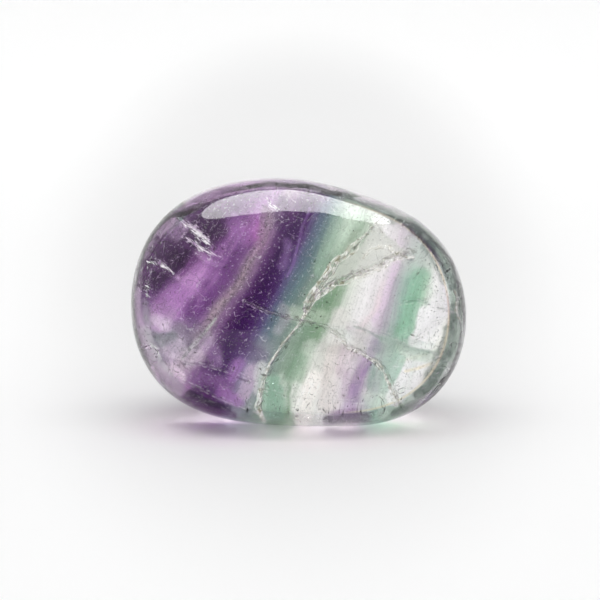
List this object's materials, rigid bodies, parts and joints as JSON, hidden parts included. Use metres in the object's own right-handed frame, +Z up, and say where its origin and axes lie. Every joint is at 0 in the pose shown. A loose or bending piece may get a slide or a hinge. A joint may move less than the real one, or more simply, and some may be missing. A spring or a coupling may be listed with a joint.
{
  "type": "tumbled fluorite stone",
  "caption": "Polished pebble of banded purple, green and clear fluorite, a display or handling specimen that stands on a small worn flat.",
  "frame": {"origin": "on the seat, under the middle of the stone's bounding box", "axes": "+X along the stone's length towards its clear end, +Y through its thickness away from the viewer, +Z up"},
  "size_m": [0.03, 0.0172, 0.0214],
  "materials": {
    "fluorite": "tumble-polished, see-through, banded purple, green and clear, refractive index 1.434"
  },
  "bodies": {
    "root": {"fluorite_stone": "fluorite"}
  },
  "joints": []
}
